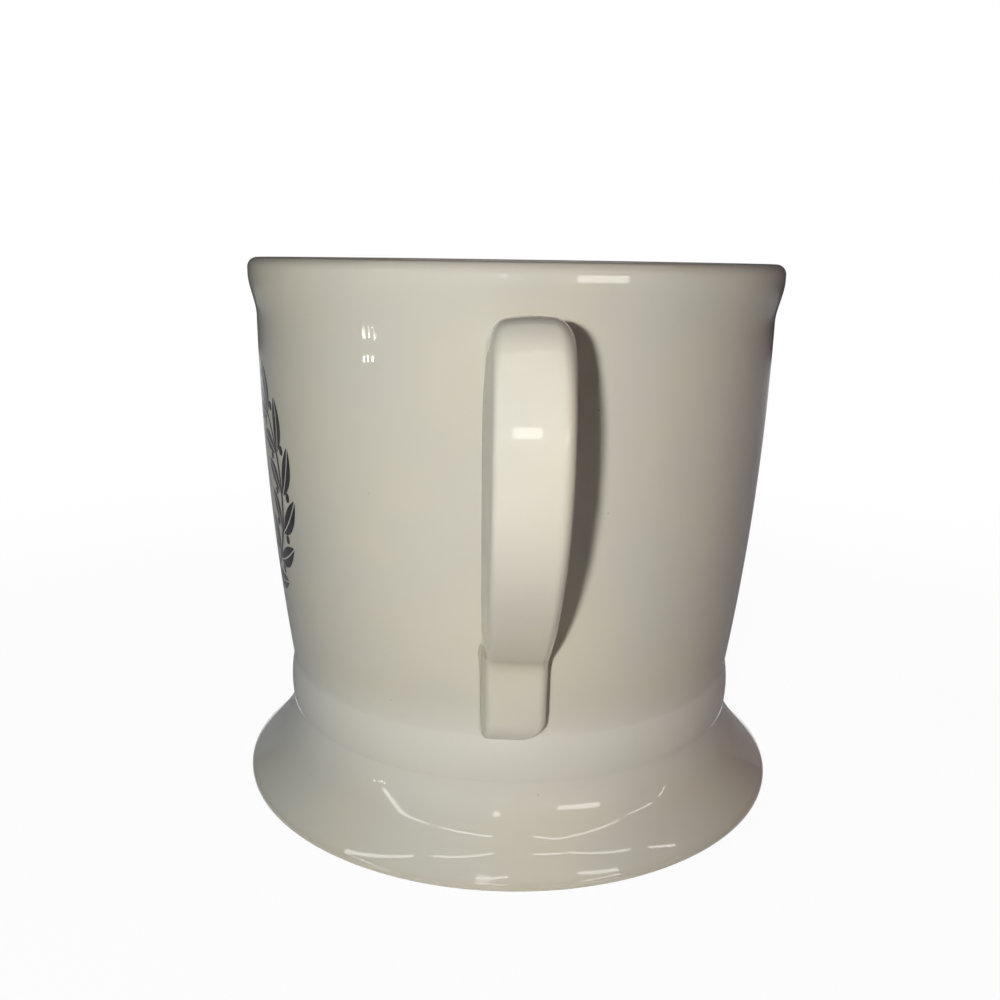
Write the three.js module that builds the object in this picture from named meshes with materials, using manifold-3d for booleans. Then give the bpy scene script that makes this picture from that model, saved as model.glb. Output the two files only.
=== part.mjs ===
// A stoneware coffee mug: a bowed cup luted on a flared skirt foot, with a strap
// handle whose tail runs down the wall. Millimetres, +Z up, handle towards -Y.
import * as THREE from "three";
import { mergeVertices } from "three/addons/utils/BufferGeometryUtils.js";
import Module from "manifold-3d";

const wasm = await Module();
wasm.setup();

// Cup: heights are from the table, radii are from the cup's axis.
const MUG_HEIGHT = 99.7;
const LIP_RADIUS = 49.85;
const LIP_THICKNESS = 5.6;
const FLARE_DROP = 10.2; // the flare leaves the wall this far under the top of the lip
const WALL_TOP_RADIUS = 48.55;
const WALL_FOOT_RADIUS = 43.95; // in the groove that runs round over the bead
const WALL_THICKNESS = 4.2;
const GROOVE_HEIGHT = 23;
const BEAD_BULGE = 0.4;
const BASE_RADIUS = 44.3;
const FLOOR_THICKNESS = 5;
const FLOOR_CORNER = 8;
const FLOOR_DRAFT = 0.5; // the wall leans in this much in the corner

// Foot: a flared skirt, hollow underneath, that stands on a flat ring.
const FOOT_HEIGHT = 14;
const FOOT_RADIUS = 53.15;
const FOOT_EDGE = 0.7;
const FOOT_EDGE_HEIGHT = 0.2; // of the widest ring
const FOOT_RING_WIDTH = 6;
const SKIRT_TOP_RADIUS = 44.3;
const SKIRT_TOP_WIDTH = 6;
const SKIRT_TOP_LEAN = THREE.MathUtils.degToRad(3); // from upright, at the seam
const SKIRT_EDGE_LEAN = THREE.MathUtils.degToRad(47); // from upright, above the edge
const SKIRT_HOLLOW_CURVE = 5; // height at which the hollow turns from wall to ceiling

// Slip: the liquid clay that joins the three formed pieces.
const SEAM_THICKNESS = 0.6;
const SEAM_SETBACK = 0.3; // the crease between cup and skirt
const LUTE_THICKNESS = 0.6;
const LUTE_FILLET = 1;
const LUTE_CLEARANCE = 0.3; // between the slip and each piece that it joins

// Handle: a strap that leaves under the lip, turns down, swings out and lands on the wall.
const HANDLE_REACH = 75.9; // outer face, from the cup's axis
const HANDLE_DROP = 11; // middle of the top bar, under the top of the lip
const BAR_FALL = 0.3; // the top bar sinks this much before its bend
const SHOULDER_LENGTH = 6.7;
const SHOULDER_DROP = 5.2;
const SHOULDER_INSET = 2.3; // the shoulder stays this far inside the reach
const BACK_SWELL = 13.9; // length of the swing out under the shoulder
const BACK_SWING = 9.25;
const LANDING_RISE = 19.1; // where the strap starts to land, over the groove
const LANDING_GAP = 4.8; // how far from the wall that is
const LANDING_LEAN = THREE.MathUtils.degToRad(62); // from upright
const LANDING_PULL = 11.5;
const STRAP_FACE_WIDTH = 9.5; // of the outer face
const STRAP_WIDTH = 12.7; // of the inner face, where the flanks have leant out
const STRAP_THICKNESS = 7;
const STRAP_EDGE = 0.9;
const STRAP_GRIP_EDGE = 1.3; // rounder, for the fingers
const STRAP_CROWN = 0.25;
const TAIL_FACE_WIDTH = 9;
const TAIL_WIDTH = 11.3;
const TAIL_THICKNESS = 5.5;
const TAIL_PROUD = 4.4;
const TAIL_START_RISE = 12.5; // over the groove
const TAIL_END_RISE = 0.6; // over the groove
const TAIL_ROUND = 3.2;
const TAPER_START = 0.54; // share of the strap's length where it starts to narrow

// Facets.
const ROUND_STEPS = 60;
const CURVE_STEPS = 5;
const WALL_STEPS = 6;
const STRAP_STEPS = 76;
const CORNER_STEPS = 3;
const FACE_STEPS = 3;
const LUTE_STEPS = 12;
const LANDING_STEPS = 32;

const SEAM_HEIGHT = FOOT_HEIGHT + SEAM_THICKNESS;
const FLOOR_HEIGHT = SEAM_HEIGHT + FLOOR_THICKNESS;
const FLARE_HEIGHT = MUG_HEIGHT - FLARE_DROP;
const LIP_HEIGHT = MUG_HEIGHT - LIP_THICKNESS / 2;
const LUTE_GAP = LUTE_THICKNESS + 2 * LUTE_CLEARANCE;

const { lerp, smoothstep } = THREE.MathUtils;
const at = (x, y) => new THREE.Vector2(x, y);

// Outside radius of the cup: a bowed taper over the groove, then an ogee flare to the lip.
function cupRadius(z) {
  const drop = Math.max(0, FLARE_HEIGHT - z) / (FLARE_HEIGHT - GROOVE_HEIGHT);
  const flare = smoothstep(z, FLARE_HEIGHT, LIP_HEIGHT);
  const wall = WALL_TOP_RADIUS - (WALL_TOP_RADIUS - WALL_FOOT_RADIUS) * drop ** 2;
  return wall + (LIP_RADIUS - WALL_TOP_RADIUS) * flare;
}

function cupThickness(z) {
  return lerp(WALL_THICKNESS, LIP_THICKNESS, smoothstep(z, FLARE_HEIGHT, LIP_HEIGHT));
}

// Heights up the cup's wall from a start, close together in the flare.
function wallHeights(start) {
  const heights = [];
  for (let i = 0; i < WALL_STEPS; i++) heights.push(lerp(start, FLARE_HEIGHT, i / WALL_STEPS));
  for (let i = 0; i <= CURVE_STEPS; i++) {
    heights.push(lerp(FLARE_HEIGHT, LIP_HEIGHT, i / CURVE_STEPS));
  }
  return heights;
}

// The cup's outside from its base up to the lip, with the bead and the groove over it.
function cupOutside(grow) {
  const bulge = (BASE_RADIUS + WALL_FOOT_RADIUS) / 2 + 2 * BEAD_BULGE;
  const bead = new THREE.QuadraticBezierCurve(
    at(BASE_RADIUS, SEAM_HEIGHT),
    at(bulge, (SEAM_HEIGHT + GROOVE_HEIGHT) / 2),
    at(WALL_FOOT_RADIUS, GROOVE_HEIGHT),
  ).getPoints(CURVE_STEPS);
  const wall = wallHeights(GROOVE_HEIGHT).map((z) => at(cupRadius(z), z));
  return [...bead, ...wall.slice(1)].map((p) => at(p.x + grow, p.y));
}

function revolve(profile) {
  return new THREE.LatheGeometry(profile, ROUND_STEPS).rotateX(Math.PI / 2);
}

function cupBody() {
  const lip = new THREE.EllipseCurve(
    LIP_RADIUS - LIP_THICKNESS / 2,
    LIP_HEIGHT,
    LIP_THICKNESS / 2,
    LIP_THICKNESS / 2,
    0,
    Math.PI,
  ).getPoints(2 * CURVE_STEPS);
  const cornerTop = FLOOR_HEIGHT + FLOOR_CORNER;
  const inside = wallHeights(cornerTop).map((z) => at(cupRadius(z) - cupThickness(z), z));
  const cornerRadius = inside[0].x;
  const corner = new THREE.QuadraticBezierCurve(
    inside[0],
    at(cornerRadius - FLOOR_DRAFT, FLOOR_HEIGHT),
    at(cornerRadius - FLOOR_CORNER, FLOOR_HEIGHT),
  ).getPoints(CURVE_STEPS);
  return revolve([
    at(0, SEAM_HEIGHT),
    ...cupOutside(0),
    ...lip.slice(1, -1),
    ...inside.reverse(),
    ...corner.slice(1),
    at(0, FLOOR_HEIGHT),
  ]);
}

// A solid plug of the cup's outside, grown by a clearance, that cuts what is luted to it.
function cupPlug(grow) {
  return solidOf(revolve([at(0, SEAM_HEIGHT), ...cupOutside(grow), at(0, LIP_HEIGHT)]));
}

// Leans are angles from straight down, positive away from the axis.
function leanOf(from, to) {
  return Math.atan2(to.x - from.x, from.y - to.y);
}

// The point where two tangent lines meet, which is the control point of the curve between them.
function tangentCorner(start, startLean, end, endLean) {
  const across = end.x - start.x;
  const down = start.y - end.y;
  const length =
    (across * Math.cos(endLean) - down * Math.sin(endLean)) / Math.sin(startLean - endLean);
  return at(start.x + length * Math.sin(startLean), start.y - length * Math.cos(startLean));
}

function footSkirt() {
  const edgeCentre = at(FOOT_RADIUS - FOOT_EDGE, FOOT_EDGE_HEIGHT);
  const edgeFoot = -Math.asin(FOOT_EDGE_HEIGHT / FOOT_EDGE);
  const ringOutside = edgeCentre.x + FOOT_EDGE * Math.cos(edgeFoot);
  const top = at(SKIRT_TOP_RADIUS, FOOT_HEIGHT);
  const edge = at(
    edgeCentre.x + FOOT_EDGE * Math.cos(SKIRT_EDGE_LEAN),
    edgeCentre.y + FOOT_EDGE * Math.sin(SKIRT_EDGE_LEAN),
  );
  const corner = tangentCorner(top, SKIRT_TOP_LEAN, edge, SKIRT_EDGE_LEAN);
  const topInside = at(SKIRT_TOP_RADIUS - SKIRT_TOP_WIDTH, FOOT_HEIGHT);
  const profile = new THREE.Path()
    .moveTo(topInside.x, topInside.y)
    .quadraticCurveTo(topInside.x, SKIRT_HOLLOW_CURVE, ringOutside - FOOT_RING_WIDTH, 0)
    .lineTo(ringOutside, 0)
    .absarc(edgeCentre.x, edgeCentre.y, FOOT_EDGE, edgeFoot, SKIRT_EDGE_LEAN)
    .quadraticCurveTo(corner.x, corner.y, top.x, top.y)
    .lineTo(topInside.x, topInside.y);
  return revolve(profile.getPoints(CURVE_STEPS));
}

// The ring of slip between the cup's base and the skirt, set back to leave a crease.
function footSeam() {
  const outside = BASE_RADIUS - SEAM_SETBACK;
  const inside = SKIRT_TOP_RADIUS - SKIRT_TOP_WIDTH + SEAM_SETBACK;
  return revolve([
    at(inside, FOOT_HEIGHT),
    at(outside, FOOT_HEIGHT),
    at(outside, SEAM_HEIGHT),
    at(inside, SEAM_HEIGHT),
    at(inside, FOOT_HEIGHT),
  ]);
}

// The middle of the strap in side view: x is the distance from the cup's axis, y is the height.
function handleLine(endRise) {
  const reach = HANDLE_REACH - STRAP_CROWN - STRAP_THICKNESS / 2;
  const barHeight = MUG_HEIGHT - HANDLE_DROP;
  const root = at(cupRadius(barHeight) - LUTE_FILLET, barHeight);
  const bend = at(reach - SHOULDER_LENGTH, barHeight - BAR_FALL);
  const shoulder = at(reach - SHOULDER_INSET, barHeight - SHOULDER_DROP);
  const swing = at(shoulder.x + BACK_SWING, shoulder.y - BACK_SWELL);
  const crest = tangentCorner(bend, leanOf(root, bend), shoulder, leanOf(shoulder, swing));
  const landingHeight = GROOVE_HEIGHT + LANDING_RISE;
  const landing = at(cupRadius(landingHeight) + LANDING_GAP, landingHeight);
  const pull = at(
    landing.x + LANDING_PULL * Math.sin(LANDING_LEAN),
    landing.y + LANDING_PULL * Math.cos(LANDING_LEAN),
  );
  const tailPoint = (rise) => {
    const z = GROOVE_HEIGHT + rise;
    return at(cupRadius(z) + TAIL_PROUD - TAIL_THICKNESS / 2, z);
  };
  const tailStart = tailPoint(TAIL_START_RISE);
  const tailEnd = tailPoint(endRise);
  const heel = tangentCorner(landing, -LANDING_LEAN, tailStart, leanOf(tailStart, tailEnd));
  return new THREE.Path()
    .moveTo(root.x, root.y)
    .lineTo(bend.x, bend.y)
    .quadraticCurveTo(crest.x, crest.y, shoulder.x, shoulder.y)
    .bezierCurveTo(swing.x, swing.y, pull.x, pull.y, landing.x, landing.y)
    .quadraticCurveTo(heel.x, heel.y, tailStart.x, tailStart.y)
    .lineTo(tailEnd.x, tailEnd.y);
}

// The strap's section: x runs across the strap and y out of it. Its flanks lean out from the
// crowned outer face, and its edges are round. Each point comes with its outward direction.
function strapSection(faceWidth, width, thickness) {
  const lean = Math.atan2((width - faceWidth) / 2, thickness);
  const outer = at(
    faceWidth / 2 - STRAP_EDGE * Math.tan(Math.PI / 4 - lean / 2),
    thickness / 2 - STRAP_EDGE,
  );
  const grip = at(
    width / 2 - STRAP_GRIP_EDGE * Math.tan(Math.PI / 4 + lean / 2),
    STRAP_GRIP_EDGE - thickness / 2,
  );
  const up = Math.PI / 2;
  const left = Math.PI - lean;
  const down = (3 * Math.PI) / 2;
  const right = 2 * Math.PI + lean;
  const edges = [
    { centre: outer, radius: STRAP_EDGE, start: lean, end: up },
    { centre: at(-outer.x, outer.y), radius: STRAP_EDGE, start: up, end: left },
    { centre: at(-grip.x, grip.y), radius: STRAP_GRIP_EDGE, start: left, end: down },
    { centre: grip, radius: STRAP_GRIP_EDGE, start: down, end: right },
  ];
  const section = [];
  edges.forEach(({ centre, radius, start, end }, side) => {
    for (let i = 0; i <= CORNER_STEPS; i++) {
      const angle = lerp(start, end, i / CORNER_STEPS);
      const normal = at(Math.cos(angle), Math.sin(angle));
      section.push({ point: centre.clone().addScaledVector(normal, radius), normal });
    }
    const { point: faceStart, normal } = section[section.length - 1];
    const next = edges[(side + 1) % edges.length];
    const faceEnd = next.centre.clone().addScaledVector(normal, next.radius);
    for (let i = 1; i < FACE_STEPS; i++) {
      const share = i / FACE_STEPS;
      const crown = side === 0 ? STRAP_CROWN * Math.sin(Math.PI * share) : 0;
      const point = faceStart.clone().lerp(faceEnd, share).addScaledVector(normal, crown);
      section.push({ point, normal });
    }
  });
  return section;
}

// A stretch of the strap, from one share of its length to another. Its surface moves out by
// growth, which is given each point's distance from the cup's wall.
function strap({ from, to, steps, growth, endRise }) {
  const line = handleLine(endRise);
  const length = line.getLength();
  const tailShare = 1 - (TAIL_START_RISE - endRise) / length;
  const rows = [];
  for (let i = 0; i <= steps; i++) {
    const share = lerp(from, to, i / steps);
    const middle = line.getPointAt(share);
    const along = line.getTangentAt(share);
    const narrowing = smoothstep(share, TAPER_START, tailShare);
    const intoTip = Math.max(0, 1 - ((1 - share) * length) / TAIL_ROUND);
    const tip = 1 - Math.sqrt(1 - intoTip ** 2);
    const tipInset = 2 * TAIL_ROUND * tip;
    const faceWidth = lerp(STRAP_FACE_WIDTH, TAIL_FACE_WIDTH, narrowing) - tipInset;
    const width = lerp(STRAP_WIDTH, TAIL_WIDTH, narrowing) - tipInset;
    const thickness = lerp(STRAP_THICKNESS, TAIL_THICKNESS, narrowing);
    const place = (x, y) => {
      const out = y - TAIL_PROUD * tip;
      return new THREE.Vector3(x, -(middle.x - along.y * out), middle.y + along.x * out);
    };
    rows.push(
      strapSection(faceWidth, width, thickness).map(({ point, normal }) => {
        const skin = place(point.x, point.y);
        const grow = growth(Math.hypot(skin.x, skin.y) - cupRadius(skin.z));
        return place(point.x + grow * normal.x, point.y + grow * normal.y);
      }),
    );
  }
  return solidOf(loft(rows));
}

// A closed skin over rows of points, with a fan on each end.
function loft(rows) {
  const count = rows[0].length;
  const lastRow = (rows.length - 1) * count;
  const middleOf = (row) =>
    row.reduce((sum, p) => sum.add(p), new THREE.Vector3()).divideScalar(count);
  const points = [...rows.flat(), middleOf(rows[0]), middleOf(rows[rows.length - 1])];
  const startMiddle = points.length - 2;
  const endMiddle = points.length - 1;
  const index = [];
  for (let j = 0; j < count; j++) {
    const k = (j + 1) % count;
    for (let row = 0; row < lastRow; row += count) {
      index.push(row + j, row + k, row + count + j);
      index.push(row + k, row + count + k, row + count + j);
    }
    index.push(startMiddle, k, j);
    index.push(endMiddle, lastRow + j, lastRow + k);
  }
  return new THREE.BufferGeometry().setFromPoints(points).setIndex(index);
}

function solidOf(geometry) {
  const bare = geometry.clone();
  bare.deleteAttribute("normal");
  bare.deleteAttribute("uv");
  const merged = mergeVertices(bare);
  return new wasm.Manifold(
    new wasm.Mesh({
      numProp: 3,
      vertProperties: merged.attributes.position.array,
      triVerts: new Uint32Array(merged.index.array),
    }),
  );
}

function geometryOf(solid) {
  const mesh = solid.getMesh();
  return new THREE.BufferGeometry()
    .setAttribute("position", new THREE.BufferAttribute(mesh.vertProperties, 3))
    .setIndex(new THREE.BufferAttribute(mesh.triVerts, 1));
}

const wholeStrap = { from: 0, to: 1, steps: STRAP_STEPS, endRise: TAIL_END_RISE };

// The strap, cut to the cup's wall with room for the slip.
function handle() {
  return strap({ ...wholeStrap, growth: () => 0 }).subtract(cupPlug(LUTE_GAP));
}

// A pad of slip between strap and wall, with a fillet that runs out on both.
function luting(stretch) {
  const fillet = (off) => {
    const left = THREE.MathUtils.clamp(LUTE_FILLET - off, 0, LUTE_FILLET);
    return LUTE_FILLET - Math.sqrt(LUTE_FILLET ** 2 - left ** 2);
  };
  const handleRoom = strap({ ...wholeStrap, growth: () => LUTE_CLEARANCE });
  return strap({ ...stretch, growth: fillet })
    .subtract(cupPlug(LUTE_CLEARANCE))
    .subtract(handleRoom.subtract(cupPlug(LUTE_GAP - LUTE_CLEARANCE)));
}

function upperLuting() {
  const rootShare = (2 * LUTE_FILLET) / handleLine(TAIL_END_RISE).getLength();
  return luting({ from: 0, to: rootShare, steps: LUTE_STEPS, endRise: TAIL_END_RISE });
}

function lowerLuting() {
  const endRise = TAIL_END_RISE - LUTE_FILLET;
  const line = handleLine(endRise);
  const landingLength = LANDING_GAP + LANDING_RISE - endRise;
  const landingShare = 1 - landingLength / line.getLength();
  return luting({ from: landingShare, to: 1, steps: LANDING_STEPS, endRise });
}

function piece(name, geometry, color, roughness) {
  const mesh = new THREE.Mesh(
    geometry,
    new THREE.MeshStandardMaterial({ color, roughness, metalness: 0 }),
  );
  mesh.name = name;
  return mesh;
}

const mug = new THREE.Group();
mug.add(
  piece("cup_body", cupBody(), "#dedbcd", 0.16),
  piece("foot_skirt", footSkirt(), "#dcd9cb", 0.18),
  piece("foot_seam_slip", footSeam(), "#c9c5b5", 0.3),
  piece("handle", geometryOf(handle()), "#e1dfd1", 0.16),
  piece("upper_handle_slip", geometryOf(upperLuting()), "#d6d2c3", 0.22),
  piece("lower_handle_slip", geometryOf(lowerLuting()), "#d6d2c3", 0.22),
);

// The origin lies under the middle of the whole mug, handle included.
const part = new THREE.Group();
part.add(mug);
const box = new THREE.Box3().setFromObject(mug);
mug.position.y = -(box.min.y + box.max.y) / 2;

export default part;
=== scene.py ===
# %% [markdown]
# # A glazed coffee mug
# The mug is thrown ceramic: a bowed cup on a flared foot, with a strap handle luted to the
# wall. Everything here is in metres and in the frame of the solids, so the first step opens
# that frame. The box of the cup gives the place of its axis.

# %% Open the frame
import math

import bmesh
import bpy
import numpy as np
from mathutils import Matrix, Vector


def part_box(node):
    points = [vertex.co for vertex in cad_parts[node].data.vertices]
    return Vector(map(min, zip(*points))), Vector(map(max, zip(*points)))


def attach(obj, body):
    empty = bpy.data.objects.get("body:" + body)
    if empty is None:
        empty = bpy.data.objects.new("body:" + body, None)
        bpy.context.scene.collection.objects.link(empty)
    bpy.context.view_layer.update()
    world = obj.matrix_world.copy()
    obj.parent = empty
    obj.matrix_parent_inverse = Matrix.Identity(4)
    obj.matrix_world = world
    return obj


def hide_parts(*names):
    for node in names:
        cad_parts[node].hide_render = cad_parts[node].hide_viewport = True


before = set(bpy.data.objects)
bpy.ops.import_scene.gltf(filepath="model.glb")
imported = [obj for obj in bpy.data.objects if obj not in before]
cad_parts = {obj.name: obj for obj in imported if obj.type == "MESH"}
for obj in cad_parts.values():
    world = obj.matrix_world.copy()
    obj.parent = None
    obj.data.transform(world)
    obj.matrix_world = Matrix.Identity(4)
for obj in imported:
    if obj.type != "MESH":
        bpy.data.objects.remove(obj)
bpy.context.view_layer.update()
MM = 0.001
cup_low, cup_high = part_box("cup_body")
axis_y = (cup_low.y + cup_high.y) / 2
print("nodes:", sorted(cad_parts), "cup axis at y =", round(axis_y, 5))

# %% [markdown]
# ## Sizes
# A potter works to a few numbers: heights above the table and radii from the cup's axis.
# They are the sizes of the solids, in millimetres, except that the lip's edges have a smaller
# round, and each curve of the cup is drawn from them. A few helpers come along: a blend between
# two numbers, the smooth step, a Bezier curve of any degree, found by blending its control
# points again and again, an arc, and the point where two tangents meet.

# %% Sizes and curve helpers
MUG_HEIGHT, LIP_RADIUS, LIP_THICKNESS, LIP_ROUND = 99.7, 49.85, 5.6, 1.8
FLARE_HEIGHT = 89.5
WALL_TOP_RADIUS, WALL_FOOT_RADIUS, WALL_THICKNESS = 48.55, 43.95, 4.2
GROOVE_HEIGHT, BEAD_BULGE, BASE_RADIUS = 23.0, 0.4, 44.3
SEAM_HEIGHT, FOOT_HEIGHT = 14.6, 14.0
FLOOR_HEIGHT, FLOOR_CORNER, FLOOR_DRAFT = 19.6, 8.0, 0.5
LIP_HEIGHT = MUG_HEIGHT - LIP_THICKNESS / 2


def lerp(start, end, share):
    return start + (end - start) * share


def smoothstep(value, low, high):
    share = np.clip((value - low) / (high - low), 0, 1)
    return share * share * (3 - 2 * share)


def bezier(*controls, steps):
    share = np.linspace(0, 1, steps + 1)[:, None]
    level = [np.array(control, float) + 0 * share for control in controls]
    while len(level) > 1:
        level = [lerp(a, b, share) for a, b in zip(level, level[1:])]
    return level[0]


def arc(centre, radius, start, end, steps):
    angle = np.linspace(start, end, steps + 1)
    return np.column_stack([centre[0] + radius * np.cos(angle), centre[1] + radius * np.sin(angle)])


def tangent_corner(start, start_way, end, end_way):
    """Where the line from start along start_way meets the line through end along end_way."""
    sides = np.column_stack([start_way, -np.array(end_way)])
    share = np.linalg.solve(sides, np.subtract(end, start))[0]
    return np.array(start) + share * np.array(start_way)


print("a quarter circle ends at", arc((0, 0), 1, 0, math.pi / 2, 8)[-1].round(3))

# %% [markdown]
# ## Turning a profile
# Cup and foot are round, as they come off the wheel. In Blender such a piece could be a
# Screw modifier on a curve, but the spin operator of bmesh makes the finished mesh at once.
# A profile that starts and ends on the axis closes at its poles, and a ring is a closed
# profile. Edges sharper than thirty degrees stay crisp, and the rest is shaded smooth.

# %% A helper for turned pieces
SPIN_STEPS = 192
CRISP_ANGLE, WELD = math.radians(30), MM / 1000


def finish_piece(name, mesh, *nodes, slot):
    mesh.shade_smooth()
    mesh.set_sharp_from_angle(angle=CRISP_ANGLE)
    piece = bpy.data.objects.new(name, mesh)
    bpy.context.scene.collection.objects.link(piece)
    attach(piece, "root")
    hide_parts(*nodes)
    print(name, "has", len(mesh.vertices), "vertices and stands for", ", ".join(nodes))
    return piece


def turned(name, profile, closed=False):
    bm = bmesh.new()
    verts = [bm.verts.new((radius * MM, axis_y, height * MM)) for radius, height in profile]
    edges = [bm.edges.new(pair) for pair in zip(verts, verts[1:])]
    if closed:
        edges.append(bm.edges.new((verts[-1], verts[0])))
    bmesh.ops.spin(
        bm, geom=verts + edges, cent=(0, axis_y, 0), axis=(0, 0, 1),
        angle=math.tau, steps=SPIN_STEPS, use_merge=True,
    )
    bmesh.ops.remove_doubles(bm, verts=bm.verts, dist=WELD)
    bmesh.ops.recalc_face_normals(bm, faces=bm.faces)
    mesh = bpy.data.meshes.new(name)
    bm.to_mesh(mesh)
    bm.free()
    return mesh


# %% [markdown]
# ## The cup
# From the base up, the outside is a low bead, a shallow groove, a wall that bows as it
# opens, and an ogee that flares into the thick rounded lip. The inside follows it a wall's
# thickness away and turns into a flat floor. One open profile gives all of it.

# %% The cup
BEAD_STEPS, WALL_STEPS, FLARE_STEPS, LIP_STEPS, CORNER_STEPS = 20, 48, 24, 20, 20


def cup_radius(height):
    drop = np.maximum(0, FLARE_HEIGHT - height) / (FLARE_HEIGHT - GROOVE_HEIGHT)
    flare = smoothstep(height, FLARE_HEIGHT, LIP_HEIGHT)
    wall = WALL_TOP_RADIUS - (WALL_TOP_RADIUS - WALL_FOOT_RADIUS) * drop**2
    return wall + (LIP_RADIUS - WALL_TOP_RADIUS) * flare


def wall_heights(start):
    low = np.linspace(start, FLARE_HEIGHT, WALL_STEPS, endpoint=False)
    return np.concatenate([low, np.linspace(FLARE_HEIGHT, LIP_HEIGHT, FLARE_STEPS + 1)])


bead_foot = np.array([BASE_RADIUS, SEAM_HEIGHT])
bead_top = np.array([WALL_FOOT_RADIUS, GROOVE_HEIGHT])
bead_middle = (bead_foot + bead_top) / 2 + (2 * BEAD_BULGE, 0)
bead = bezier(bead_foot, bead_middle, bead_top, steps=BEAD_STEPS)
outside_heights = wall_heights(GROOVE_HEIGHT)
outside = np.column_stack([cup_radius(outside_heights), outside_heights])
lip_turn = MUG_HEIGHT - LIP_ROUND
lip_outside = arc((LIP_RADIUS - LIP_ROUND, lip_turn), LIP_ROUND, 0, math.pi / 2, LIP_STEPS)
inner_turn = (LIP_RADIUS - LIP_THICKNESS + LIP_ROUND, lip_turn)
lip_inside = arc(inner_turn, LIP_ROUND, math.pi / 2, math.pi, LIP_STEPS)
inside_heights = wall_heights(FLOOR_HEIGHT + FLOOR_CORNER)[::-1]
towards_lip = smoothstep(inside_heights, FLARE_HEIGHT, LIP_HEIGHT)
thickness = lerp(WALL_THICKNESS, LIP_THICKNESS, towards_lip)
inside = np.column_stack([cup_radius(inside_heights) - thickness, inside_heights])
corner_radius = inside[-1][0]
floor_corner = bezier(
    inside[-1],
    (corner_radius - FLOOR_DRAFT, FLOOR_HEIGHT),
    (corner_radius - FLOOR_CORNER, FLOOR_HEIGHT),
    steps=CORNER_STEPS,
)
cup_outside = [[(0, SEAM_HEIGHT)], bead, outside[1:], lip_outside]
cup_inside = [lip_inside, inside, floor_corner[1:], [(0, FLOOR_HEIGHT)]]
cup_profile = np.concatenate(cup_outside + cup_inside)
cup = finish_piece("glazed_cup", turned("glazed_cup", cup_profile), "cup_body", slot="glaze")

# %% [markdown]
# ## The foot
# The foot is a skirt that sweeps out from the base and stands on a flat ring. Underneath it
# is hollow. Two tangent lines, one at the seam and one above the edge, fix the sweep: they
# meet at the middle control point of its curve. The inner edge of the ring gets a small
# round, because a potter wipes it with a sponge before the kiln.

# %% The foot
FOOT_RADIUS, FOOT_EDGE, FOOT_EDGE_HEIGHT, FOOT_RING_WIDTH = 53.15, 0.7, 0.2, 6.0
SKIRT_TOP_WIDTH, SKIRT_HOLLOW_CURVE = 6.0, 5.0
SKIRT_TOP_LEAN, SKIRT_EDGE_LEAN = math.radians(3), math.radians(47)
SPONGED_EDGE, SWEEP_STEPS, EDGE_STEPS = 0.8, 40, 10


def down_and_out(lean):
    return np.array([math.sin(lean), -math.cos(lean)])


edge_centre = np.array([FOOT_RADIUS - FOOT_EDGE, FOOT_EDGE_HEIGHT])
edge_foot = -math.asin(FOOT_EDGE_HEIGHT / FOOT_EDGE)
edge = arc(edge_centre, FOOT_EDGE, edge_foot, SKIRT_EDGE_LEAN, EDGE_STEPS)
skirt_top = np.array([BASE_RADIUS, FOOT_HEIGHT])
sweep_corner = tangent_corner(
    skirt_top, down_and_out(SKIRT_TOP_LEAN), edge[-1], down_and_out(SKIRT_EDGE_LEAN)
)
sweep = bezier(edge[-1], sweep_corner, skirt_top, steps=SWEEP_STEPS)
hollow_top = np.array([BASE_RADIUS - SKIRT_TOP_WIDTH, FOOT_HEIGHT])
ring_inside = np.array([edge[0][0] - FOOT_RING_WIDTH, 0.0])
hollow = bezier(hollow_top, (hollow_top[0], SKIRT_HOLLOW_CURVE), ring_inside, steps=SWEEP_STEPS)
hollow = hollow[np.linalg.norm(hollow - ring_inside, axis=1) > SPONGED_EDGE]
sponged = bezier(hollow[-1], ring_inside, ring_inside + (SPONGED_EDGE, 0), steps=EDGE_STEPS)
foot_profile = np.concatenate([hollow, sponged[1:], edge, sweep[1:]])
foot = finish_piece(
    "flared_foot", turned("flared_foot", foot_profile, closed=True), "foot_skirt", slot="glaze"
)

# %% [markdown]
# The seam between cup and foot is a ring of slip that the glaze has flooded. On the outside
# it is a hollow curve that leaves the bead and arrives at the skirt on their own tangents,
# so the eye sees no line there, only a soft turn.

# %% The seam
SEAM_WIDTH, SEAM_STEPS = 5.0, 8
bead_way = bead[0] - bead[1]
seam_corner = tangent_corner(bead[0], bead_way, skirt_top, down_and_out(SKIRT_TOP_LEAN))
seam_skin = bezier(skirt_top, seam_corner, bead[0], steps=SEAM_STEPS)
seam_inside = BASE_RADIUS - SEAM_WIDTH
seam_profile = np.concatenate([seam_skin, [(seam_inside, SEAM_HEIGHT), (seam_inside, FOOT_HEIGHT)]])
seam = finish_piece(
    "flooded_seam", turned("flooded_seam", seam_profile, closed=True), "foot_seam_slip", slot="slip"
)

# %% [markdown]
# ## The handle
# The handle is a strap of clay. It leaves the wall under the lip as a short bar that rises a
# little, turns down, swings out, comes in again and lays its tail on the wall. A curve with a bevel
# could draw it, but the strap narrows and thins on its way, so it is lofted: a line in side
# view, and at each station a rounded section across it.

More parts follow.
